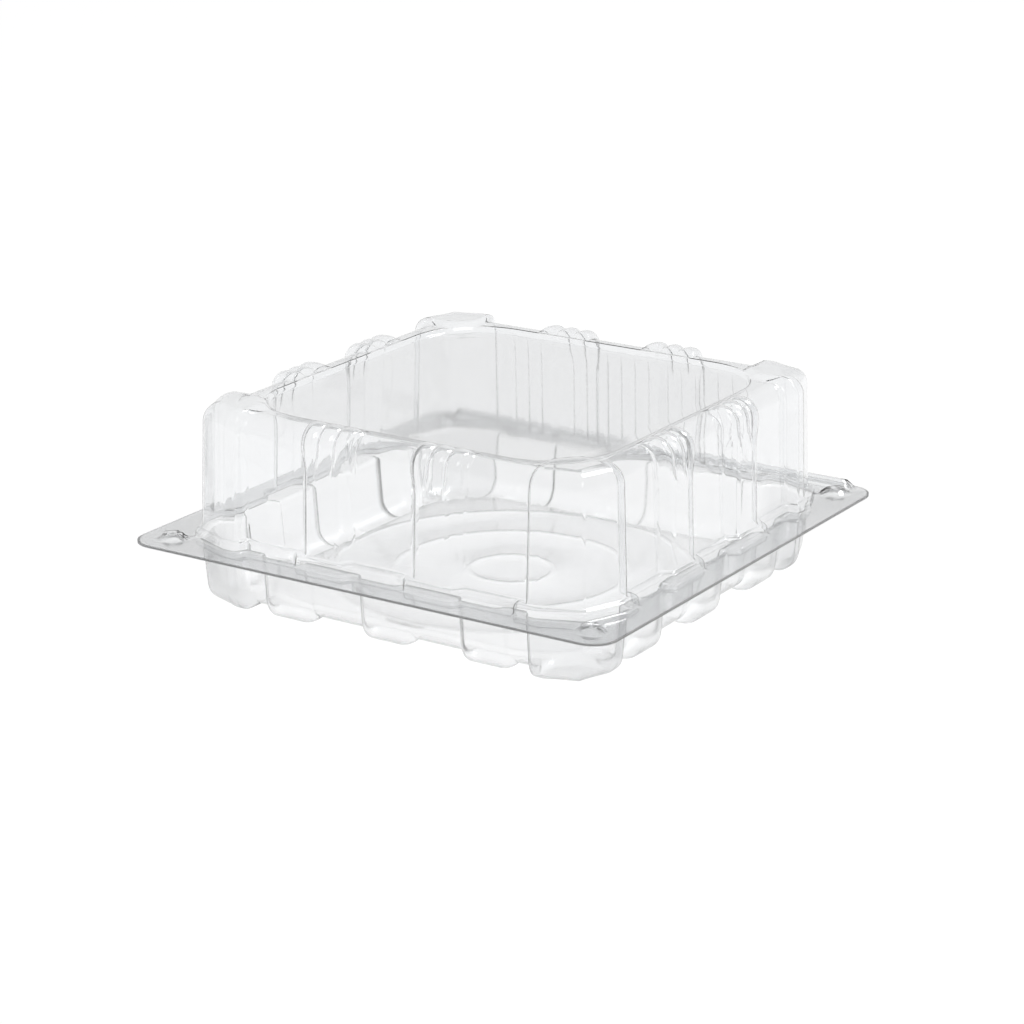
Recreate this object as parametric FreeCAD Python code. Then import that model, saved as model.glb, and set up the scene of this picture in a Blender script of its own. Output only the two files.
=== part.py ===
import FreeCAD, Part
import math
import os

os.makedirs("parts", exist_ok=True)

# Clear hinged pack, closed. Millimetres and degrees, +Z up, origin under the middle of the base.
# The fold line runs along X at the back, on the +Y side.

# Sheet and rims
sheet = 0.4
rim_side = 230.0
rim_corner = 11.0
rim_gap = 0.2

# Lid: wall panels between the corner posts and the rib groups
lid_height = 56.0
lid_draft = 2.0
lid_crown = 8.0
lid_panel_inset = 20.0

# Base: the same kind of form, turned over
base_depth = 26.0
base_draft = 5.0
base_crown = 8.0
base_panel_inset = 20.5
panel_corner = 12.0

# Sunken field in the middle of the lid's top and of the base's underside
field_margin = 3.0
field_corner = 32.0
field_step = 2.0

# Flat steps that make up each rounded edge
crown_steps = 3
nose_steps = 2
round_steps = 2

# Corner posts: two facets that meet on the diagonal, and a tail that runs inwards over the top
post_inset = 15.5
post_reach = 31.5
post_flat = 8.0
post_nose_inset = 22.2
post_tail_inset = 43.0
post_tail_width = 15.0
post_tail_round = 5.0
post_side_lean = 1.5
post_side_round = 1.5
post_rise = 2.0

# Rib groups of the lid: flutes over the top edge that run down into one broad pilaster
rib_proud = 5.0
rib_rise = 2.2
rib_width = 9.0
rib_round = 4.3
rib_pitch = 8.0
ribs_in_group = 3
rib_group_place = 26.5
rib_nose = 8.0
rib_root = 5.6
rib_start = 34.0
pilaster_proud = 4.6
pilaster_edge = 3.0
pilaster_end = 46.0
pilaster_fade = 3.2

# Pads of the base: plain ribs along each side
pad_proud = 4.5
pad_width = 22.0
pad_round = 3.0
pad_pitch = 48.0
pad_count = 3

# Fine flutes of the lid's hinge wall
fine_pitch = 7.0
fine_count = 18
fine_width = 3.4
fine_proud = 0.8
fine_depth = 1.6

# Plinth: a low step round the foot of the lid's wall
plinth_height = 4.5
plinth_step = 2.8

# Rings embossed in the base's floor
ring_radii = (18.0, 50.0)
ring_edge_margin = 3.2
ring_width = 4.0
ring_height = 0.9
ring_sides = 16

# Hinge bead and press buttons, raised on both rims, the lid's nested over the base's
nest_gap = 0.3
bead_radius = 3.3
bead_inset = 3.4
bead_end_inset = 12.0
button_inset = 13.5
button_foot = 5.2
button_top = 4.2
button_height = 2.4
button_sides = 10

# Places that follow from the sizes
rim_half = rim_side / 2
base_rim_z = base_depth + post_rise
lid_rim_z = base_rim_z + rim_gap
lid_panel = rim_half - lid_panel_inset
base_panel = rim_half - base_panel_inset
post_face = rim_half - post_inset
post_nose = rim_half - post_nose_inset
post_end = post_face - post_reach
post_tail = rim_half - post_tail_inset
group_width = (ribs_in_group - 1) * rib_pitch + rib_width

X_AXIS = FreeCAD.Vector(1, 0, 0)
Z_AXIS = FreeCAD.Vector(0, 0, 1)
ORIGIN = FreeCAD.Vector(0, 0, 0)


def point(x, y, z=0.0):
    return FreeCAD.Vector(x, y, z)


def lean_of(height, draft):
    return height * math.tan(math.radians(draft))


def spread(count, pitch):
    """Places along a side, evenly about its middle."""
    return [(number - (count - 1) / 2) * pitch for number in range(count)]


def four_sides(shape):
    return [shape.rotated(ORIGIN, Z_AXIS, 90 * side) for side in range(4)]


def fused(shapes):
    return shapes[0].multiFuse(shapes[1:])


def rounded_square(half, corner, z):
    """Closed outline of a square with round corners, centred on the axis."""
    straight = half - corner
    middle = straight + corner * math.sqrt(0.5)
    side = Part.makeLine(point(half, -straight, z), point(half, straight, z))
    turn = Part.Arc(point(half, straight, z), point(middle, middle, z), point(straight, half, z)).toShape()
    edges = []
    for pair in zip(four_sides(side), four_sides(turn)):
        edges.extend(pair)
    return Part.Wire(edges)


def plate(half, corner, z, height):
    return Part.Face(rounded_square(half, corner, z)).extrude(Z_AXIS * height)


def inset_polygon(corners, insets, z):
    """Corners of an anticlockwise polygon with each edge moved inwards by its own distance."""
    lines = []
    for index, (x0, y0) in enumerate(corners):
        x1, y1 = corners[(index + 1) % len(corners)]
        length = math.hypot(x1 - x0, y1 - y0)
        nx, ny = (y0 - y1) / length, (x1 - x0) / length
        lines.append((nx, ny, nx * x0 + ny * y0 + insets[index]))
    moved = []
    for index, (nx, ny, reach) in enumerate(lines):
        mx, my, back = lines[index - 1]
        cross = mx * ny - nx * my
        moved.append(point((back * ny - reach * my) / cross, (mx * reach - nx * back) / cross, z))
    return moved


def stacked_solid(levels):
    """Solid with flat faces between outlines that have as many corners, whichever way they run."""
    faces = [Part.Face(Part.makePolygon(level + level[:1])) for level in (levels[0], levels[-1])]
    for lower, upper in zip(levels, levels[1:]):
        for index, start in enumerate(lower):
            after = (index + 1) % len(lower)
            quad = [start, lower[after], upper[after], upper[index], start]
            faces.append(Part.Face(Part.makePolygon(quad)))
    solid = Part.Solid(Part.Shell(faces))
    if solid.Volume < 0:
        solid.reverse()
    return solid


def crown_levels(height, draft, crown):
    """Insets and heights of a leaning wall and of the flat steps that round it over to the top."""
    turn = math.radians(draft)
    centre_z = height - crown
    centre = lean_of(centre_z, draft) + crown / math.cos(turn)
    levels = [(0.0, 0.0)]
    for step in range(crown_steps + 1):
        angle = turn + (math.pi / 2 - turn) * step / crown_steps
        levels.append((centre - crown * math.cos(angle), centre_z + crown * math.sin(angle)))
    return levels


def cut_square(half, corner):
    """Anticlockwise corners of a square whose own corners are cut off, centred on the axis."""
    straight = half - corner
    corners = []
    for across, along in ((1, 0), (0, 1), (-1, 0), (0, -1)):
        for side in (-straight, straight):
            corners.append((half * across - side * along, half * along + side * across))
    return corners


def drafted_block(half, corner, height, draft, crown):
    """Square block with leaning walls, cut corners and a rounded top edge, standing on z = 0."""
    corners = cut_square(half, corner)
    outlines = []
    for inset, z in crown_levels(height, draft, crown):
        outlines.append(inset_polygon(corners, [inset] * len(corners), z))
    return stacked_solid(outlines)


def post_outline():
    """Plan of the post in the +X +Y corner: four outer edges, a side, the tail and a side."""
    bend = post_end + post_flat
    half_tail = post_tail_width * math.sqrt(0.5) / 2
    return [
        (post_face, post_end),
        (post_face, bend),
        (post_nose, post_nose),
        (bend, post_face),
        (post_end, post_face),
        (post_tail - half_tail, post_tail + half_tail),
        (post_tail + half_tail, post_tail - half_tail),
    ]


def corner_post(height, draft, crown, grow):
    """Corner post whose outer edges round over to its top in flat steps."""
    lean = lean_of(height - crown, draft)
    levels = [(0.0, 0.0, 0.0, 0.0), (height - crown, lean, post_side_lean, lean)]
    for step in range(1, crown_steps + 1):
        turn = math.radians(90 * step / crown_steps)
        drawn = 1 - math.cos(turn)
        level = height - crown * (1 - math.sin(turn))
        side = post_side_lean + post_side_round * drawn
        levels.append((level, lean + crown * drawn, side, lean + post_tail_round * drawn))
    outlines = []
    for level, outer, side, tail in levels:
        insets = [outer - grow] * 4 + [side - grow, tail - grow, side - grow]
        outlines.append(inset_polygon(post_outline(), insets, level))
    return stacked_solid(outlines)


def rib_section(width, side_round, root):
    """Section of a rib as (place across, depth under its crest), its sides drawn in towards the crest."""
    half = width / 2
    right = [(half, root)]
    for step in range(1, round_steps + 1):
        turn = math.radians(90 * step / round_steps)
        right.append((half - side_round * (1 - math.cos(turn)), side_round * (1 - math.sin(turn))))
    return [(-x, depth) for x, depth in right] + right[::-1]


def wall_rib(face, height, draft, crown, nose, section, start_z):
    """Rib on the -Y wall: up the wall from start_z, round the top edge and down to the top inside it."""
    lean = math.radians(draft)
    brow_y = face - lean_of(height - crown, draft) - crown / math.cos(lean)
    foot_y = face - lean_of(start_z, draft)
    outlines = [[point(x, depth / math.cos(lean) - foot_y, start_z) for x, depth in section]]
    bends = [(crown, lean + (math.pi / 2 - lean) * step / crown_steps) for step in range(crown_steps + 1)]
    bends += [(nose, math.pi / 2 * (1 + step / nose_steps)) for step in range(1, nose_steps + 1)]
    for radius, turn in bends:
        outline = []
        for x, depth in section:
            reach = radius - depth
            z = height - radius + reach * math.sin(turn)
            outline.append(point(x, -brow_y - reach * math.cos(turn), z))
        outlines.append(outline)
    return stacked_solid(outlines)


def pilaster(face, half, height, draft, grow):
    """Broad pilaster under a rib group, drawn back to the wall near its upper end."""
    inner = face - rib_proud - panel_corner
    corners = [
        (-half, -inner),
        (-half, pilaster_edge - face),
        (pilaster_edge - half, -face),
        (half - pilaster_edge, -face),
        (half, pilaster_edge - face),
        (half, -inner),
    ]
    outlines = []
    for z, drawn in ((0.0, 0.0), (rib_start, 0.0), (height, pilaster_fade)):
        outlines.append(inset_polygon(corners, [drawn + lean_of(z, draft) - grow] * 5 + [0.0], z))
    return stacked_solid(outlines)


def field_half(panel, height, draft, crown):
    """Half the side of the sunken field, inside a form's round edge."""
    return panel - lean_of(height, draft) - crown - field_margin


def sunk_field(form, panel, height, draft, crown, skin):
    """Sink the middle of a form's top, inside its round edge."""
    half = field_half(panel, height, draft, crown) + skin
    floor_z = height - skin - field_step
    return form.cut(plate(half, field_corner + skin, floor_z, field_step + post_rise + crown))


def fine_flutes(skin):
    """Fine flutes on the +Y wall of the lid, left out where a post or a rib group stands."""
    flutes = []
    start = plinth_height / 2
    end = lid_height - lid_crown - skin
    clear = (group_width + fine_width) / 2
    crest = lid_panel + fine_proud - skin
    half = fine_width / 2 - skin
    for along in spread(fine_count, fine_pitch):
        if abs(abs(along) - rib_group_place) < clear or abs(along) > post_end - fine_width:
            continue
        levels = []
        for z in (start, end):
            y = crest - lean_of(z, lid_draft)
            back = y - fine_depth
            levels.append([point(along + half, back, z), point(along, y, z), point(along - half, back, z)])
        flutes.append(stacked_solid(levels))
    return flutes


def placed_groups(group):
    """One rib group's solid copied to its two places on each of the four sides."""
    copies = []
    for place in (-rib_group_place, rib_group_place):
        copies += four_sides(group.translated(X_AXIS * place))
    return copies


def lid_form(skin):
    """The lid's outer form, or its inner one when skin is the thickness of the sheet."""
    height = lid_height - skin
    crown = lid_crown - skin
    parts = [drafted_block(lid_panel - skin, panel_corner, height, lid_draft, crown)]
    parts += four_sides(corner_post(height + post_rise, lid_draft, crown, -skin))
    section = rib_section(rib_width - 2 * skin, rib_round - skin, rib_root - skin)
    flute = wall_rib(lid_panel + rib_proud - skin, height + rib_rise, lid_draft, crown,
                     rib_nose - skin, section, rib_start + skin)
    flutes = [flute.translated(X_AXIS * step) for step in spread(ribs_in_group, rib_pitch)]
    broad = pilaster(lid_panel + pilaster_proud, group_width / 2, pilaster_end - skin, lid_draft, -skin)
    parts += placed_groups(fused(flutes + [broad]))
    parts += fine_flutes(skin)
    parts += lid_plinth(skin)
    return sunk_field(fused(parts), lid_panel, lid_height, lid_draft, lid_crown, skin)


def low_step(corners, skin):
    """Block as high as the plinth that stands out from an outline as far as the plinth does."""
    outlines = []
    for z in (0.0, plinth_height - skin):
        outlines.append(inset_polygon(corners, [skin - plinth_step] * len(corners), z))
    return stacked_solid(outlines)


def lid_plinth(skin):
    """Low step round the foot of the lid's wall, posts and rib groups."""
    wide = group_width / 2
    inner = lid_panel - panel_corner
    crest = lid_panel + rib_proud
    block = low_step(cut_square(lid_panel, panel_corner), skin)
    post = low_step(post_outline(), skin)
    group = low_step([(-wide, -inner), (-wide, -crest), (wide, -crest), (wide, -inner)], skin)
    return [block] + four_sides(post) + placed_groups(group)


def base_form(skin):
    """The base's outer or inner form, standing on its rim with the floor up."""
    height = base_depth - skin
    crown = base_crown - skin
    parts = [drafted_block(base_panel - skin, panel_corner, height, base_draft, crown)]
    parts += four_sides(corner_post(height + post_rise, base_draft, crown, -skin))
    section = rib_section(pad_width - 2 * skin, pad_round - skin, rib_root - skin)
    pad = wall_rib(base_panel + pad_proud - skin, height + post_rise, base_draft, crown,
                   rib_nose - skin, section, 0.0)
    for place in spread(pad_count, pad_pitch):
        parts += four_sides(pad.translated(X_AXIS * place))
    form = sunk_field(fused(parts), base_panel, base_depth, base_draft, base_crown, skin)
    outer_ring = field_half(base_panel, base_depth, base_draft, base_crown) - ring_edge_margin
    floor_z = base_depth - field_step - ring_height - skin
    for radius in ring_radii + (outer_ring,):
        form = form.cut(ring_groove(radius, ring_width / 2 + skin, floor_z))
    return form


def round_outline(x, y, radius, sides, z):
    """Corners of a many-sided outline that stands in for a circle."""
    turns = [2 * math.pi * side / sides for side in range(sides)]
    return [point(x + radius * math.cos(turn), y + radius * math.sin(turn), z) for turn in turns]


def ring_groove(radius, reach, floor_z):
    """Groove round the axis, from floor_z up, that reaches as far to each side of its radius."""
    discs = []
    for size in (radius + reach, radius - reach):
        levels = (floor_z, floor_z + 2 * ring_height)
        discs.append(stacked_solid([round_outline(0.0, 0.0, size, ring_sides, z) for z in levels]))
    return discs[0].cut(discs[1])


def rim_bosses(shrink, depth):
    """Hinge bead and four press buttons on a rim at z = 0, drawn in by shrink, from z = -depth up."""
    radius = bead_radius - shrink
    length = 2 * (rim_half - bead_end_inset - shrink)
    low_end = point(-length / 2, rim_half - bead_inset)
    bead = Part.makeCylinder(radius, length, low_end, X_AXIS)
    above = Part.makeBox(length, 2 * radius, radius + depth, low_end - point(0, radius, depth))
    place = rim_half - button_inset
    foot = round_outline(place, place, button_foot - shrink, button_sides, -depth)
    top = round_outline(place, place, button_top - shrink, button_sides, button_height - shrink)
    return [bead.common(above)] + four_sides(stacked_solid([foot, top]))


def lid_shell():
    rim = plate(rim_half, rim_corner, 0, sheet)
    outside = fused([rim, lid_form(0.0)] + rim_bosses(0.0, 0.0))
    return outside.cut([lid_form(sheet)] + rim_bosses(sheet, 0.0))


def base_shell():
    rim = plate(rim_half, rim_corner, 0, sheet)
    bowl = fused([rim, base_form(0.0)]).cut(base_form(sheet))
    bowl.rotate(ORIGIN, X_AXIS, 180)
    nested = sheet + nest_gap
    return fused([bowl] + rim_bosses(nested, 0.0)).cut(rim_bosses(nested + sheet, sheet))


def export(name, shape, rise):
    shape = shape.removeSplitter()
    shape.translate(Z_AXIS * rise)
    print(name, len(shape.Solids), "solid, valid:", shape.isValid(), "volume:", round(shape.Volume))
    shape.exportStep("parts/" + name + ".step")


export("base_tray", base_shell(), base_rim_z)
export("lid", lid_shell(), lid_rim_z)
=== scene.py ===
import math
import bpy
import numpy as np
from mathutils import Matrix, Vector

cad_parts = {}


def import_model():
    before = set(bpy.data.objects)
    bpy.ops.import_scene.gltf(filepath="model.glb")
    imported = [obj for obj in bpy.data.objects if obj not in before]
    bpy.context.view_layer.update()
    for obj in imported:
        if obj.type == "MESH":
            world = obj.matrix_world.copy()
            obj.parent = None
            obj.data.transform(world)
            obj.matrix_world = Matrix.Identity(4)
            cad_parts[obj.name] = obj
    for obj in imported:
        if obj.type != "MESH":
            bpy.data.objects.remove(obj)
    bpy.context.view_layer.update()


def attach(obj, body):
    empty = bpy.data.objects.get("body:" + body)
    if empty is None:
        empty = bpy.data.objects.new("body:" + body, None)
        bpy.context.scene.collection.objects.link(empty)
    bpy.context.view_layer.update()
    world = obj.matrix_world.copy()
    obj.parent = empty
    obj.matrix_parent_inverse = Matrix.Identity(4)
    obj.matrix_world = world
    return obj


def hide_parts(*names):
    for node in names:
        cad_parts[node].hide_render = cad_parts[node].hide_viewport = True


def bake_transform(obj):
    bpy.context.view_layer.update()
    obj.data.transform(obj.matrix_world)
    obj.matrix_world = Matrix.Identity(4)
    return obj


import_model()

# Clear hinged pack, drawn in millimetres and moved to metres when a mesh is made.
# Each sheet is a closed net: columns stand side by side round the pack, rows run from the rim inwards.
# A column is named by its distance along one side, from the middle of the side to the corner's diagonal.
# A row is an offset outwards from the outline that the columns stand on, and a height over the rim.

MM = 0.001

# Sheet and rims
SHEET = 0.4
RIM_HALF = 115.0
RIM_CORNER = 11.0
BASE_RIM_Z = 28.0
LID_RIM_Z = 28.2

# Outline that the columns stand on: a square with round corners
LINE_CENTRE = 71.0
LINE_RADIUS = 24.0

# Corner posts, in plan
POST_FACE = 99.5
POST_START = 68.0
POST_BEND = 76.0
POST_NOSE = 92.8
POST_SIDE = 3.2
POST_END_BLEND = 0.15
POST_NOSE_BLEND = 0.3
POST_TAIL = 72.0
POST_TAIL_HALF = 5.3
POST_TAIL_SIDE = 4.16
POST_TAIL_END = 3.5
POST_RISE = 2.0

# Field sunk into the middle, and the ribs' rounded inner ends
FIELD_MARGIN = 3.0
FIELD_CORNER = 32.0
FIELD_STEP = 2.0
FIELD_STRAIGHT = 60.0
RIB_NOSE = 5.0
RIB_OVER = 15.0

# Rings pressed into the base's field
RING_HALF = 2.0
RING_HEIGHT = 0.5

# Rib groups of the lid: flutes that fade downwards into one broad pilaster
FLUTE_LOW = 38.0
FLUTE_FULL = 49.0
PILASTER_PROUD = 4.7
PILASTER_EDGE = 5.0

# Plinth round the foot of the lid's wall
PLINTH = 2.8
PLINTH_HEIGHT = 4.5
PLINTH_CROWN = 2.0
PLINTH_POST_SIDE = 1.6
GROUP_PLACE = 26.5
GROUP_HALF = 12.5
GROUP_PROUD = 5.0
GROUP_SIDE = 5.0
FOOT_FILLET = 1.2

# Fine flutes of the lid's hinge wall; the topmost rows draw them in
FINE_PITCH = 7.0
FINE_COUNT = 18
FINE_HALF = 2.0
FINE_PROUD = 1.8
FINE_END = 0.9
FINE_END_SHARE = 0.6

# Bead and buttons on the rims
BEAD_INSET = 3.4
BEAD_END = 103.0
BEAD_SLOPE = 2.0
BUTTON_PLACE = 101.5
BUTTON_SLOPE = 1.2

# Strip of sheet that joins the two rims at the fold
STRIP_HALF = 0.12
STRIP_TURNS = 8
STRIP_COLUMNS = 27

# Share of the deepest grey: on the rims for their undrawn sheet; painted shade towards their corners and on
# the hinge bead;
# a painted highlight that the buttons get by losing grey; how much the hinge rim's grey and painted shade
# lose towards its +X end; and how often the walls' tint is added again on the posts as painted shade
RIM_TINT = 0.07
CORNER_PAINTED_SHADE = 0.36
CORNER_FROM = 45.0
CORNER_LENGTH = 35.0
BEAD_PAINTED_SHADE = 0.4
BUTTON_PAINTED_HIGHLIGHT = 0.35
HINGE_SHADE_FADE = 0.8
FADE_FROM = 40.0
FADE_LENGTH = 30.0
POST_PAINTED_SHADE = 4

# Each sheet. "fillet" rows: offset from the wall, height over the sheet, share of the rim's tint.
LID = {
    "panel": 95.0, "height": 56.0, "draft": 2.0, "crown": 8.0,
    "ribs": (-34.5, -26.5, -18.5, 18.5, 26.5, 34.5), "rib_half": 4.5, "rib_flat": 0.0,
    "rib_proud": 5.0, "rib_rise": 2.2, "rings": (), "dome": 0.5, "middle": (0.9, 0.72, 0.5, 0.28),
    "bead": 3.3, "button": 5.2, "button_height": 2.4, "boss_way": 1, "wall_tint": 0.0,
    "fillet": ((0.45, 0.1, 1.0), (0.1, 0.45, 0.5)), "wall_start": PLINTH_HEIGHT + 0.6,
}
BASE = {
    "panel": 94.5, "height": 26.0, "draft": 5.0, "crown": 8.0,
    "ribs": (-48.0, 0.0, 48.0), "rib_half": 11.0, "rib_flat": 6.5,
    "rib_proud": 4.5, "rib_rise": 2.0, "rings": (78.0, 50.0, 18.0), "dome": 0.0, "middle": (0.1,),
    "bead": 2.2, "button": 4.1, "button_height": 1.7, "boss_way": -1, "wall_tint": 0.12,
    "fillet": ((0.45, 0.12, 1.0), (0.1, 0.45, 0.0)), "wall_start": 1.2,
}

# Columns: how close and how far apart they stand, how many go round a corner or a rib, and where they crowd
# beside an edge, in millimetres or in shares of the edge's width
COLUMN_GAP_MIN = 0.22
COLUMN_GAP_MAX = 3.2
CORNER_COLUMNS = 23
RIB_COLUMNS = 12
RIB_SIDES = (0.4, 1.2)
GROUP_SIDES = (-0.4, 0.6, 1.4, 2.2, 3.0, 3.8, 4.6, 5.4)
PLINTH_POST_SIDES = (-0.4, 0.3, 0.8, 1.3, 1.8)
POST_SHARES = (-0.3, 0.0, 0.25, 0.5, 0.75, 1.0, 1.3)
FINE_SHARES = (-1.1, -0.7, -0.35, 0, 0.35, 0.7, 1.1)

# Rows: turns in degrees and shares of the way across a part. The others are pairs: plinth rows of an offset
# from the wall and a height over the plinth, step rows of an inset and a share of the step, ring rows of an
# offset in half widths of the ring and a share of its height.
BEAD_TURNS = (-90, -62, -36, -12, 12, 36, 62, 90)
RIM_SHARES = (0.12, 0.26, 0.42, 0.58, 0.74, 0.88)
PLINTH_TURNS = (30, 60, 90)
PLINTH_ROWS = ((0.6, 0.0), (0.15, 0.2))
WALL_SHARES = (0.0, 0.25, 0.5, 0.65, 0.72, 0.79, 0.86, 0.93, 0.97)
CROWN_TURNS = (15, 28, 41, 54, 66, 78, 90)
TOP_SHARES = (0.12, 0.25, 0.38, 0.52, 0.66, 0.8, 0.9, 1.0)
STEP_ROWS = ((0.25, 0.1), (0.5, 0.35), (0.8, 0.7), (1.15, 0.93), (1.7, 1.0))
RING_ROWS = ((1.1, 0), (0.8, 0.3), (0.45, 0.9), (0, 1), (-0.45, 0.9), (-0.8, 0.3), (-1.1, 0))

# Film: colour of a drawn sheet and of the undrawn one, which is also the grey of the painted shade, and what
# a lamp's light keeps on its way through
LID_DRAWN = (0.94, 0.945, 0.95, 1)
BASE_DRAWN = (0.975, 0.978, 0.98, 1)
UNDRAWN_AND_SHADE_GREY = (0.8, 0.805, 0.81, 1)
LAMP_KEPT = (0.93, 0.935, 0.94, 1)
FILM_IOR = 1.57
LID_ROUGHNESS = 0.03
BASE_ROUGHNESS = 0.14

# Edge that the cutting die leaves
EDGE_GREY = (0.85, 0.855, 0.86, 1)
EDGE_ROUGHNESS = 0.5
EDGE_CLEAR = 0.3

# Studio, in metres and watts
FLOOR_SIZE = 12
FLOOR_Z = -0.0005
FLOOR_WHITE = (0.9, 0.9, 0.9, 1)
FLOOR_GLOW = 1.1
FLOOR_GLOW_SHARE = 0.85
SKY_REFLECTED = {"From Min": 0.05, "From Max": 0.3, "To Min": 0.8, "To Max": 0.49}
SKY_LIGHT = 0.44

# Camera fitted to the photograph: degrees, then lengths in widths of the rim, then the lens in pixels
CAMERA_AZIMUTH = 32.8
CAMERA_ELEVATION = 18.27
CAMERA_DISTANCE = 5.75
CAMERA_TARGET = (-0.0122, 0.0213)
CAMERA_FOCUS = 3110
PICTURE_WIDTH = 1024
SENSOR = 36


def smooth(value):
    """0 below 0, 1 above 1, with level ends."""
    value = np.clip(value, 0.0, 1.0)
    return value * value * (3 - 2 * value)


def soft_min(first, second, width):
    """The smaller of two values, blended where they come within the width of each other."""
    blend = np.clip(0.5 + (second - first) / (2 * width), 0, 1)
    return second + (first - second) * blend - width * blend * (1 - blend)


def fine_places():
    """Places of the fine flutes, which end short of the posts."""
    places = [(number - (FINE_COUNT - 1) / 2) * FINE_PITCH for number in range(FINE_COUNT)]
    return [place for place in places if abs(place) < POST_START - FINE_HALF]


def column_places(form, fine):
    """Places of one side's columns, close together where the form turns sharply."""
    wanted = {0.0, LINE_CENTRE}
    for rib in form["ribs"]:
        for turn in np.radians(np.linspace(-90, 90, RIB_COLUMNS)):
            round_part = (form["rib_half"] - form["rib_flat"]) * math.sin(turn)
            wanted.add(rib + math.copysign(form["rib_flat"], turn) + round_part)
        wanted.update(rib + way * (form["rib_half"] + side) for way in (-1, 1) for side in RIB_SIDES)
    if form is LID:
        for way in (-1, 1):
            edge = GROUP_PLACE + way * (GROUP_HALF + PLINTH)
            wanted.update(edge - way * side for side in GROUP_SIDES)
        wanted.update(POST_START - PLINTH + side for side in PLINTH_POST_SIDES)
    wanted.update(POST_START + POST_SIDE * share for share in POST_SHARES)
    if fine:
        wanted.update(place + FINE_HALF * share for place in fine_places() for share in FINE_SHARES)
    places = [0.0]
    for place in sorted(x for x in wanted if 0 < x <= LINE_CENTRE):
        gap = place - places[-1]
        if gap < COLUMN_GAP_MIN and place < LINE_CENTRE:
            continue
        parts = 1 + int(gap // COLUMN_GAP_MAX)
        places += [place - gap * part / parts for part in range(parts)][::-1]
    length = LINE_RADIUS * math.pi / 4
    places += [LINE_CENTRE + length * (number + 1) / CORNER_COLUMNS for number in range(CORNER_COLUMNS)]
    return np.array([-x for x in places[:0:-1]][1:] + places)


def rounded_reach(turn, half, corner):
    """Offset from the columns' outline to a square with round corners, along each column."""
    near = half - LINE_CENTRE
    inner = near - corner
    sine, cosine = np.sin(turn), np.cos(turn)
    along = inner * (sine + cosine)
    root = np.sqrt(np.maximum(along ** 2 - 2 * inner ** 2 + corner ** 2, 0))
    return np.where(near * sine > inner * cosine, along + root, near / cosine) - LINE_RADIUS


def post_reach(turn):
    """Offset from the columns' outline to the corner post's two facets and its end faces."""
    face, nose, bend = POST_FACE - LINE_CENTRE, POST_NOSE - LINE_CENTRE, POST_BEND - LINE_CENTRE
    run, fall = nose - bend, face - nose
    facet = fall * bend + run * face
    sine, cosine = np.sin(turn), np.cos(turn)
    reach = soft_min(face / cosine, facet / (fall * sine + run * cosine), POST_END_BLEND)
    return soft_min(reach, facet / (fall * cosine + run * sine), POST_NOSE_BLEND) - LINE_RADIUS


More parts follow.
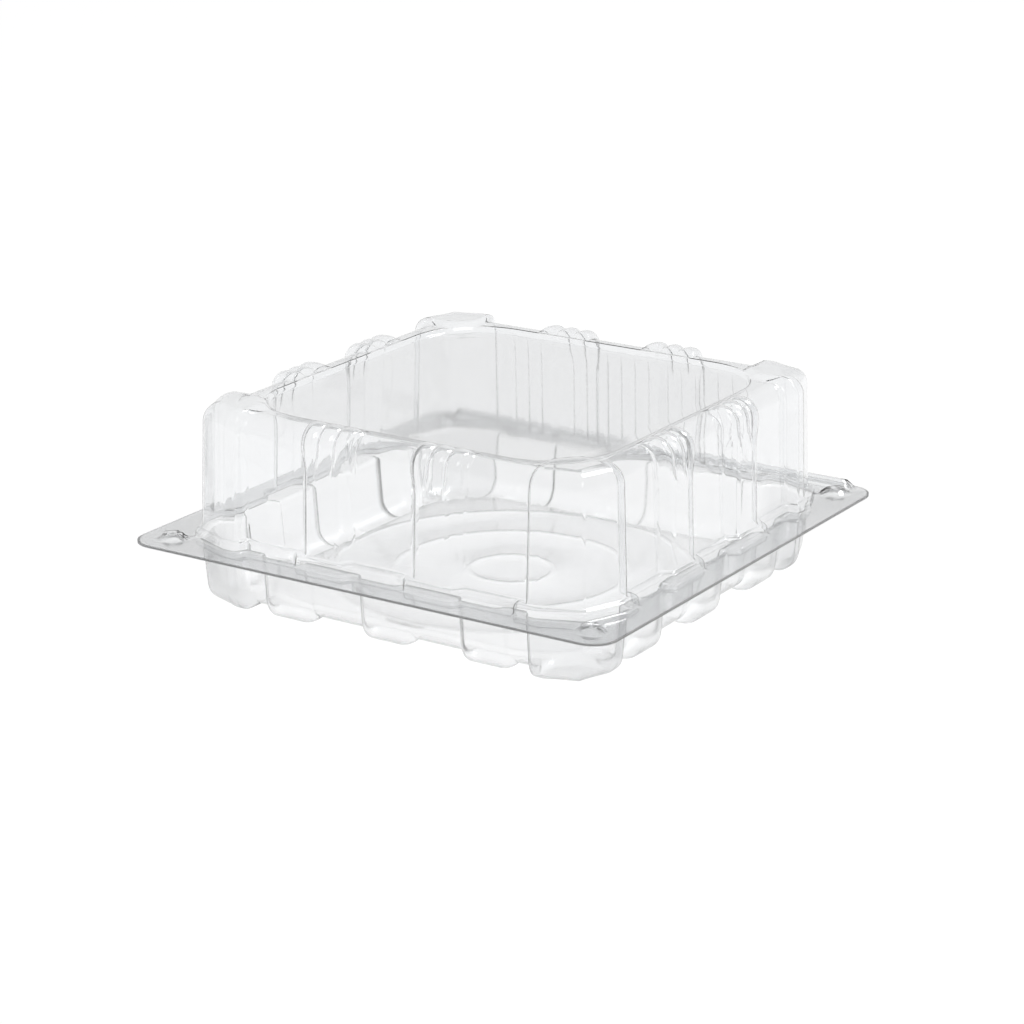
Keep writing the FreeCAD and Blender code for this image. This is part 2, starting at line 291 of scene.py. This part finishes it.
class Side:
    """The columns of one side, in the frame of the side that faces -Y."""

    def __init__(self, form, hinge):
        self.form = form
        self.hinge = hinge
        self.fine = hinge and form is LID
        self.place = column_places(form, self.fine)
        self.reach = np.abs(self.place)
        self.sign = np.sign(self.place)
        self.along = np.minimum(self.reach, LINE_CENTRE)
        self.turn = np.maximum(self.reach - LINE_CENTRE, 0) / LINE_RADIUS
        self.ribs = self.rib_share()
        self.post = smooth((self.reach - POST_START) / POST_SIDE)
        panel = form["panel"] - LINE_CENTRE - LINE_RADIUS
        post = self.post * (post_reach(self.turn) - panel)
        self.wall = panel + np.maximum(self.ribs * form["rib_proud"], post)
        self.low_wall = self.wall
        if form is LID:
            self.low_wall = panel + np.maximum(self.group_share() * PILASTER_PROUD, post)
        self.rise = np.maximum(self.ribs * form["rib_rise"], self.post * POST_RISE)
        self.rows = []
        self.film_grey_and_painted_light = []

    def rib_share(self):
        """1 on the crest of a rib, 0 between ribs, with a round section."""
        share = np.zeros_like(self.place)
        width = self.form["rib_half"] - self.form["rib_flat"]
        for rib in self.form["ribs"]:
            beside = np.maximum(np.abs(self.place - rib) - self.form["rib_flat"], 0) / width
            share = np.maximum(share, np.sqrt(np.clip(1 - beside ** 2, 0, 1)))
        return share

    def group_share(self):
        """1 on the broad pilaster under a rib group, 0 beside it."""
        return smooth((GROUP_HALF - np.abs(self.reach - GROUP_PLACE)) / PILASTER_EDGE)

    def fine_share(self):
        """1 on the crest of a fine flute, 0 between them."""
        share = np.zeros_like(self.place)
        if self.fine:
            for place in fine_places():
                share = np.maximum(share, smooth(1 - np.abs(self.place - place) / FINE_HALF))
        return share

    def add(self, offset, z, film_grey_and_painted_light=0.0):
        """Row at an offset outwards from the columns' outline."""
        distance = LINE_RADIUS + offset
        x = self.sign * (self.along + distance * np.sin(self.turn))
        y = -LINE_CENTRE - distance * np.cos(self.turn)
        self.add_points(x, y, z, film_grey_and_painted_light)

    def add_points(self, x, y, z, film_grey_and_painted_light=0.0):
        """Row of given points, and the share of the deepest grey on it: undrawn sheet, painted shade and
        painted highlights.
        """
        self.rows.append(np.stack((x, y, z + np.zeros_like(x)), 1))
        self.film_grey_and_painted_light.append(film_grey_and_painted_light + np.zeros_like(x))

    def rim(self, foot):
        """Rows from the rim's edge to the foot of the wall, with the bead and the buttons."""
        bead_turns = np.radians(BEAD_TURNS)
        insets = [0.0] + [BEAD_INSET + self.form["bead"] * math.sin(turn) for turn in bead_turns]
        offsets = [rounded_reach(self.turn, RIM_HALF - inset, RIM_CORNER - inset) for inset in insets]
        last = offsets[-1]
        offsets += [last + (foot - last) * share for share in RIM_SHARES]
        # Rim grey for the undrawn sheet, darkened towards the corners with painted shade
        tint = RIM_TINT + CORNER_PAINTED_SHADE * smooth((self.reach - CORNER_FROM) / CORNER_LENGTH)
        for offset in offsets:
            self.add(offset, SHEET, tint)
            row = self.rows[-1]
            button, bead = self.boss_heights(row[:, 0], row[:, 1])
            row[:, 2] += self.form["boss_way"] * np.maximum(button, bead)
            # Painted highlight: the buttons lose some of the grey
            # Painted shade on the hinge bead
            self.film_grey_and_painted_light[-1] += BEAD_PAINTED_SHADE * np.minimum(bead, 1) - BUTTON_PAINTED_HIGHLIGHT * np.minimum(button, 1)
            # The hinge rim's grey and painted shade fade off towards its +X end
            if self.hinge:
                self.film_grey_and_painted_light[-1] *= 1 - HINGE_SHADE_FADE * smooth((-row[:, 0] - FADE_FROM) / FADE_LENGTH)

    def boss_heights(self, x, y):
        """Heights of the buttons and of the hinge bead over the rim."""
        away = np.hypot(np.abs(x) - BUTTON_PLACE, y + BUTTON_PLACE)
        button = self.form["button_height"] * smooth((self.form["button"] - away) / BUTTON_SLOPE)
        across = y + RIM_HALF - BEAD_INSET
        bead = np.sqrt(np.maximum(self.form["bead"] ** 2 - across ** 2, 0))
        return button, bead * smooth((BEAD_END - np.abs(x)) / BEAD_SLOPE) * self.hinge

    def foot(self, wall):
        """Rows of the rim and of the fillet where it turns up into a wall."""
        self.rim(wall + FOOT_FILLET)
        for outwards, height, share in self.form["fillet"]:
            self.add(wall + outwards, SHEET + height, RIM_TINT * share)

    def plinth(self):
        """Rows of the rim and up the plinth, a step outside the wall that is square round each rib group."""
        inside = GROUP_HALF + PLINTH - np.abs(self.reach - GROUP_PLACE)
        group = GROUP_PROUD * smooth(inside / GROUP_SIDE)
        post = smooth((self.reach - POST_START + PLINTH) / PLINTH_POST_SIDE) * post_reach(self.turn)
        face = PLINTH + np.maximum(group, post)
        shoulder = PLINTH_HEIGHT - PLINTH_CROWN
        self.foot(face)
        self.add(face, shoulder)
        for turn in np.radians(PLINTH_TURNS):
            self.add(face - PLINTH_CROWN * (1 - math.cos(turn)), shoulder + PLINTH_CROWN * math.sin(turn))
        for outwards, height in PLINTH_ROWS:
            self.add(self.low_wall + outwards, PLINTH_HEIGHT + height)

    def walls(self):
        """Rows up the leaning wall and round its top edge."""
        form = self.form
        start, crown, draft = form["wall_start"], form["crown"], math.radians(form["draft"])
        low = form["height"] + self.rise - crown
        shown = self.fine_share() * FINE_PROUD
        # Grey of the walls, with painted shade added on the posts
        tint = form["wall_tint"] * (1 + POST_PAINTED_SHADE * self.post)
        for share in WALL_SHARES:
            z = start + (low - start) * share
            fluted = smooth((z - FLUTE_LOW) / (FLUTE_FULL - FLUTE_LOW))
            wall = self.low_wall + (self.wall - self.low_wall) * fluted
            fine = shown * (1 - fluted * self.group_share()) * (1 if share < FINE_END else FINE_END_SHARE)
            self.add(wall + fine - z * math.tan(draft), z, tint)
        centre = self.wall - low * math.tan(draft) - crown / math.cos(draft)
        for turn in (draft, *np.radians(CROWN_TURNS)):
            self.add(centre + crown * math.cos(turn), low + crown * math.sin(turn), tint)

    def field_points(self, inset):
        """Points on the sunken field's outline, drawn in by the inset."""
        form = self.form
        lean = form["height"] * math.tan(math.radians(form["draft"]))
        half = form["panel"] - lean - form["crown"] - FIELD_MARGIN
        centre = half - FIELD_CORNER
        first = math.asin((FIELD_STRAIGHT - centre) / FIELD_CORNER)
        rest = LINE_CENTRE + LINE_RADIUS * math.pi / 4 - FIELD_STRAIGHT
        beyond = (self.reach - FIELD_STRAIGHT) / rest
        turn = np.arcsin(np.clip((self.reach - centre) / FIELD_CORNER, 0, math.sin(first)))
        turn = turn + np.maximum(beyond, 0) * (math.pi / 4 - first)
        x = np.minimum(self.reach, centre) + (FIELD_CORNER - inset) * np.sin(turn)
        y = -centre - (FIELD_CORNER - inset) * np.cos(turn)
        return self.sign * x, y

    def top_rise(self, x, y):
        """Height over the top of the wall of the ribs' inner ends and the posts' tails."""
        form = self.form
        low = form["height"] + form["rib_rise"] - form["crown"]
        lean = low * math.tan(math.radians(form["draft"]))
        end = form["panel"] + form["rib_proud"] - lean - RIB_OVER
        inside = np.clip(np.abs(y) - end, 0, RIB_NOSE)
        nose = np.sqrt(RIB_NOSE ** 2 - (RIB_NOSE - inside) ** 2) - RIB_NOSE
        ribs = self.ribs * np.maximum(form["rib_rise"] + nose, 0)
        x, y = np.abs(x), np.abs(y)
        drop = POST_TAIL + POST_TAIL_HALF - POST_FACE
        across = POST_TAIL - POST_TAIL_HALF - POST_START
        length = math.hypot(drop, across)
        one = ((x - POST_START) * -drop + (y - POST_FACE) * across) / length
        two = ((y - POST_START) * -drop + (x - POST_FACE) * across) / length
        beside = smooth(np.minimum(one, two) / POST_TAIL_SIDE)
        tail = (x + y - 2 * POST_TAIL) / math.sqrt(2)
        return np.maximum(ribs, POST_RISE * beside * smooth(tail / POST_TAIL_END))

    def top(self):
        """Rows over the top edge, down the step and across the sunken field to the middle."""
        form = self.form
        start = self.rows[-1].copy()
        x_end, y_end = self.field_points(0.0)
        for share in TOP_SHARES:
            x = start[:, 0] + (x_end - start[:, 0]) * share
            y = start[:, 1] + (y_end - start[:, 1]) * share
            self.add_points(x, y, form["height"] + self.top_rise(x, y))
        edge = self.rows[-1][:, 2]
        field = form["height"] - FIELD_STEP
        for inset, share in STEP_ROWS:
            x, y = self.field_points(inset)
            self.add_points(x, y, edge + (field - edge) * share)
        size = np.hypot(x, y)
        for ring in form["rings"]:
            for step, height in RING_ROWS:
                scale = (ring + step * RING_HALF) / size
                self.add_points(x * scale, y * scale, field - RING_HEIGHT * height)
        for scale in form["middle"]:
            self.add_points(x * scale, y * scale, field + form["dome"] * (1 - scale ** 2))


def sheet_net(form):
    """Points of one sheet's rows all the way round, and the share of the deepest grey at each, for the
    undrawn sheet and for painted shade and highlights.

    The four sides are turned into place from the front, so the third one is the hinge side at the back.
    """
    rows, film_grey_and_painted_light = [], []
    for number in range(4):
        side = Side(form, number == 2)
        if form is LID:
            side.plinth()
        else:
            side.foot(side.wall)
        side.walls()
        side.top()
        sine, cosine = math.sin(math.radians(90 * number)), math.cos(math.radians(90 * number))
        rows.append(np.array(side.rows) @ np.array(((cosine, sine, 0), (-sine, cosine, 0), (0, 0, 1))))
        film_grey_and_painted_light.append(np.array(side.film_grey_and_painted_light))
    return np.concatenate(rows, axis=1), np.concatenate(film_grey_and_painted_light, axis=1)


def sheet(name, form, rim_z, way):
    """Piece of one thermoformed sheet, closed in the middle by one point; way -1 turns it over."""
    net, film_grey_and_painted_light = sheet_net(form)
    rows, columns = net.shape[:2]
    points = np.concatenate((net.reshape(-1, 3), ((0, 0, net[-1, 0, 2]),)))
    points[:, 2] = rim_z + way * points[:, 2]
    faces = []
    for row in range(rows - 1):
        for column in range(columns):
            after = (column + 1) % columns
            low, high = row * columns, (row + 1) * columns
            faces.append((low + column, low + after, high + after, high + column)[::way])
    last = (rows - 1) * columns
    centre = rows * columns
    faces += [(last + column, last + (column + 1) % columns, centre)[::way] for column in range(columns)]
    mesh = bpy.data.meshes.new(name)
    mesh.from_pydata((points * MM).tolist(), [], faces)
    mesh.shade_smooth()
    # Share of the deepest grey at each point: the undrawn rim's own grey, with painted shade and a painted
    # highlight on top
    mesh.attributes.new("film_grey_and_painted_light", "FLOAT", "POINT").data.foreach_set("value", np.append(film_grey_and_painted_light, 0.0))
    piece = bpy.data.objects.new(name, mesh)
    bpy.context.scene.collection.objects.link(piece)
    shell = piece.modifiers.new("sheet", "SOLIDIFY")
    shell.thickness = SHEET * MM
    shell.offset = -1
    shell.use_even_offset = False
    shell.material_offset_rim = 1
    return piece


def fold_strip(film):
    """Strip of sheet that joins the two rims' back edges, folded over while the pack is closed."""
    low, high = BASE_RIM_Z - SHEET / 2, LID_RIM_Z + SHEET / 2
    radius = (high - low) / 2
    middle = (high + low) / 2
    half = RIM_HALF - RIM_CORNER
    turns = [math.radians(-90 + 180 * step / STRIP_TURNS) for step in range(STRIP_TURNS + 1)]
    section = []
    for arc, way in ((radius + STRIP_HALF, 1), (radius - STRIP_HALF, -1)):
        for turn in turns[::way]:
            section.append((RIM_HALF + arc * math.cos(turn), middle + arc * math.sin(turn)))
    points, faces = [], []
    for number in range(STRIP_COLUMNS):
        x = -half + 2 * half * number / (STRIP_COLUMNS - 1)
        points += [(x * MM, y * MM, z * MM) for y, z in section]
    size = len(section)
    for start in range(0, (STRIP_COLUMNS - 1) * size, size):
        for index in range(size):
            after = (index + 1) % size
            faces.append((start + index, start + after, start + size + after, start + size + index))
    faces.append(tuple(range(size))[::-1])
    faces.append(tuple(range((STRIP_COLUMNS - 1) * size, STRIP_COLUMNS * size)))
    mesh = bpy.data.meshes.new("fold_strip")
    mesh.from_pydata(points, [], faces)
    mesh.validate()
    piece = bpy.data.objects.new("fold_strip", mesh)
    bpy.context.scene.collection.objects.link(piece)
    piece.data.materials.append(film)
    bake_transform(piece)


def glassy(name, roughness):
    """Clear material that lets the lamps' light through, and its shader's nodes."""
    material = bpy.data.materials.new(name)
    material.use_nodes = True
    tree = material.node_tree
    tree.nodes.clear()
    output = tree.nodes.new("ShaderNodeOutputMaterial")
    mix = tree.nodes.new("ShaderNodeMixShader")
    path = tree.nodes.new("ShaderNodeLightPath")
    gone = tree.nodes.new("ShaderNodeBsdfTransparent")
    gone.inputs["Color"].default_value = LAMP_KEPT
    plastic = tree.nodes.new("ShaderNodeBsdfPrincipled")
    plastic.inputs["Roughness"].default_value = roughness
    plastic.inputs["IOR"].default_value = FILM_IOR
    tree.links.new(path.outputs["Is Shadow Ray"], mix.inputs["Fac"])
    tree.links.new(plastic.outputs["BSDF"], mix.inputs[1])
    tree.links.new(gone.outputs["BSDF"], mix.inputs[2])
    tree.links.new(mix.outputs["Shader"], output.inputs["Surface"])
    return material, tree, plastic


def clear_plastic(name, roughness, drawn):
    """Clear film, greyer where the sheet was hardly drawn out and where shade is painted in, lighter where a
    highlight is painted on.
    """
    material, tree, plastic = glassy(name, roughness)
    plastic.inputs["Transmission Weight"].default_value = 1.0
    film_grey_and_painted_light = tree.nodes.new("ShaderNodeAttribute")
    film_grey_and_painted_light.attribute_name = "film_grey_and_painted_light"
    tint = tree.nodes.new("ShaderNodeValToRGB")
    tint.color_ramp.elements[0].color = drawn
    tint.color_ramp.elements[1].color = UNDRAWN_AND_SHADE_GREY
    tree.links.new(film_grey_and_painted_light.outputs["Fac"], tint.inputs["Fac"])
    tree.links.new(tint.outputs["Color"], plastic.inputs["Base Color"])
    return material


def cut_edge():
    """Matt grey edge that the cutting die leaves round the rims."""
    material, _, plastic = glassy("cut_edge", EDGE_ROUGHNESS)
    plastic.inputs["Base Color"].default_value = EDGE_GREY
    plastic.inputs["Transmission Weight"].default_value = EDGE_CLEAR
    return material


def math_node(tree, operation, first, second):
    """Math node on a socket and a second socket or number; gives its result's socket."""
    node = tree.nodes.new("ShaderNodeMath")
    node.operation = operation
    tree.links.new(first, node.inputs[0])
    if isinstance(second, float):
        node.inputs[1].default_value = second
    else:
        tree.links.new(second, node.inputs[1])
    return node.outputs[0]


def floor():
    """White floor: mostly its own glow to the rays that show it, and lit so that it keeps the shadow."""
    bpy.ops.mesh.primitive_plane_add(size=FLOOR_SIZE, location=(0, 0, FLOOR_Z))
    ground = bpy.context.object
    ground.name = "floor"
    material = bpy.data.materials.new("floor_white")
    material.use_nodes = True
    tree = material.node_tree
    tree.nodes.clear()
    output = tree.nodes.new("ShaderNodeOutputMaterial")
    mix = tree.nodes.new("ShaderNodeMixShader")
    path = tree.nodes.new("ShaderNodeLightPath")
    lit = tree.nodes.new("ShaderNodeBsdfDiffuse")
    lit.inputs["Color"].default_value = FLOOR_WHITE
    glow = tree.nodes.new("ShaderNodeEmission")
    glow.inputs["Strength"].default_value = FLOOR_GLOW
    seen = math_node(tree, "MAXIMUM", path.outputs["Is Camera Ray"], path.outputs["Is Glossy Ray"])
    seen = math_node(tree, "MAXIMUM", seen, path.outputs["Is Transmission Ray"])
    tree.links.new(math_node(tree, "MULTIPLY", seen, FLOOR_GLOW_SHARE), mix.inputs["Fac"])
    tree.links.new(lit.outputs["BSDF"], mix.inputs[1])
    tree.links.new(glow.outputs["Emission"], mix.inputs[2])
    tree.links.new(mix.outputs["Shader"], output.inputs["Surface"])
    ground.data.materials.append(material)


def world():
    """White to the camera and through the film; reflections see it pale near the floor and dimmer above."""
    sky = bpy.data.worlds.new("studio")
    bpy.context.scene.world = sky
    sky.use_nodes = True
    tree = sky.node_tree
    tree.nodes.clear()
    output = tree.nodes.new("ShaderNodeOutputWorld")
    back = tree.nodes.new("ShaderNodeBackground")
    back.inputs["Color"].default_value = (1, 1, 1, 1)
    path = tree.nodes.new("ShaderNodeLightPath")
    place = tree.nodes.new("ShaderNodeTexCoord")
    split = tree.nodes.new("ShaderNodeSeparateXYZ")
    height = tree.nodes.new("ShaderNodeMapRange")
    for socket, value in SKY_REFLECTED.items():
        height.inputs[socket].default_value = value
    tree.links.new(place.outputs["Generated"], split.inputs["Vector"])
    tree.links.new(split.outputs["Z"], height.inputs["Value"])
    glossy = math_node(tree, "MULTIPLY", path.outputs["Is Glossy Ray"], height.outputs["Result"])
    seen = math_node(tree, "MAXIMUM", path.outputs["Is Camera Ray"], path.outputs["Is Transmission Ray"])
    bright = math_node(tree, "MAXIMUM", seen, glossy)
    tree.links.new(math_node(tree, "MAXIMUM", bright, SKY_LIGHT), back.inputs["Strength"])
    tree.links.new(back.outputs["Background"], output.inputs["Surface"])


def lamp(name, place, size, power):
    """Square area lamp that faces the pack."""
    data = bpy.data.lights.new(name, "AREA")
    data.size = size
    data.energy = power
    lamp_object = bpy.data.objects.new(name, data)
    lamp_object.location = place
    lamp_object.rotation_euler = (-Vector(place)).to_track_quat("-Z", "Y").to_euler()
    bpy.context.scene.collection.objects.link(lamp_object)


def camera():
    """Camera at the photograph's viewing angle, at the height of the rims."""
    azimuth, elevation = math.radians(CAMERA_AZIMUTH), math.radians(CAMERA_ELEVATION)
    width = 2 * RIM_HALF * MM
    target = Vector((CAMERA_TARGET[0] * width, CAMERA_TARGET[1] * width, BASE_RIM_Z * MM))
    back = Vector((
        math.sin(azimuth) * math.cos(elevation),
        -math.cos(azimuth) * math.cos(elevation),
        math.sin(elevation),
    ))
    data = bpy.data.cameras.new("camera")
    data.lens = CAMERA_FOCUS * SENSOR / PICTURE_WIDTH
    data.sensor_width = SENSOR
    eye = bpy.data.objects.new("camera", data)
    eye.location = target + back * CAMERA_DISTANCE * width
    eye.rotation_euler = (-back).to_track_quat("-Z", "Y").to_euler()
    bpy.context.scene.collection.objects.link(eye)
    bpy.context.scene.camera = eye


lid_film = clear_plastic("clear_lid", LID_ROUGHNESS, LID_DRAWN)
base_film = clear_plastic("clear_base", BASE_ROUGHNESS, BASE_DRAWN)
cut = cut_edge()
lid = sheet("lid_sheet", LID, LID_RIM_Z, 1)
base = sheet("base_sheet", BASE, BASE_RIM_Z, -1)
for piece, film, body, node in ((lid, lid_film, "cover", "lid"), (base, base_film, "base", "base_tray")):
    piece.data.materials.append(film)
    piece.data.materials.append(cut)
    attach(piece, body)
    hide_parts(node)
fold_strip(lid_film)

floor()
world()
lamp("key", (0.42, 0.72, 1.19), 0.45, 5.5)
lamp("front", (1.0, -0.57, 0.96), 0.6, 2)
camera()
bpy.context.scene.view_settings.view_transform = "Standard"
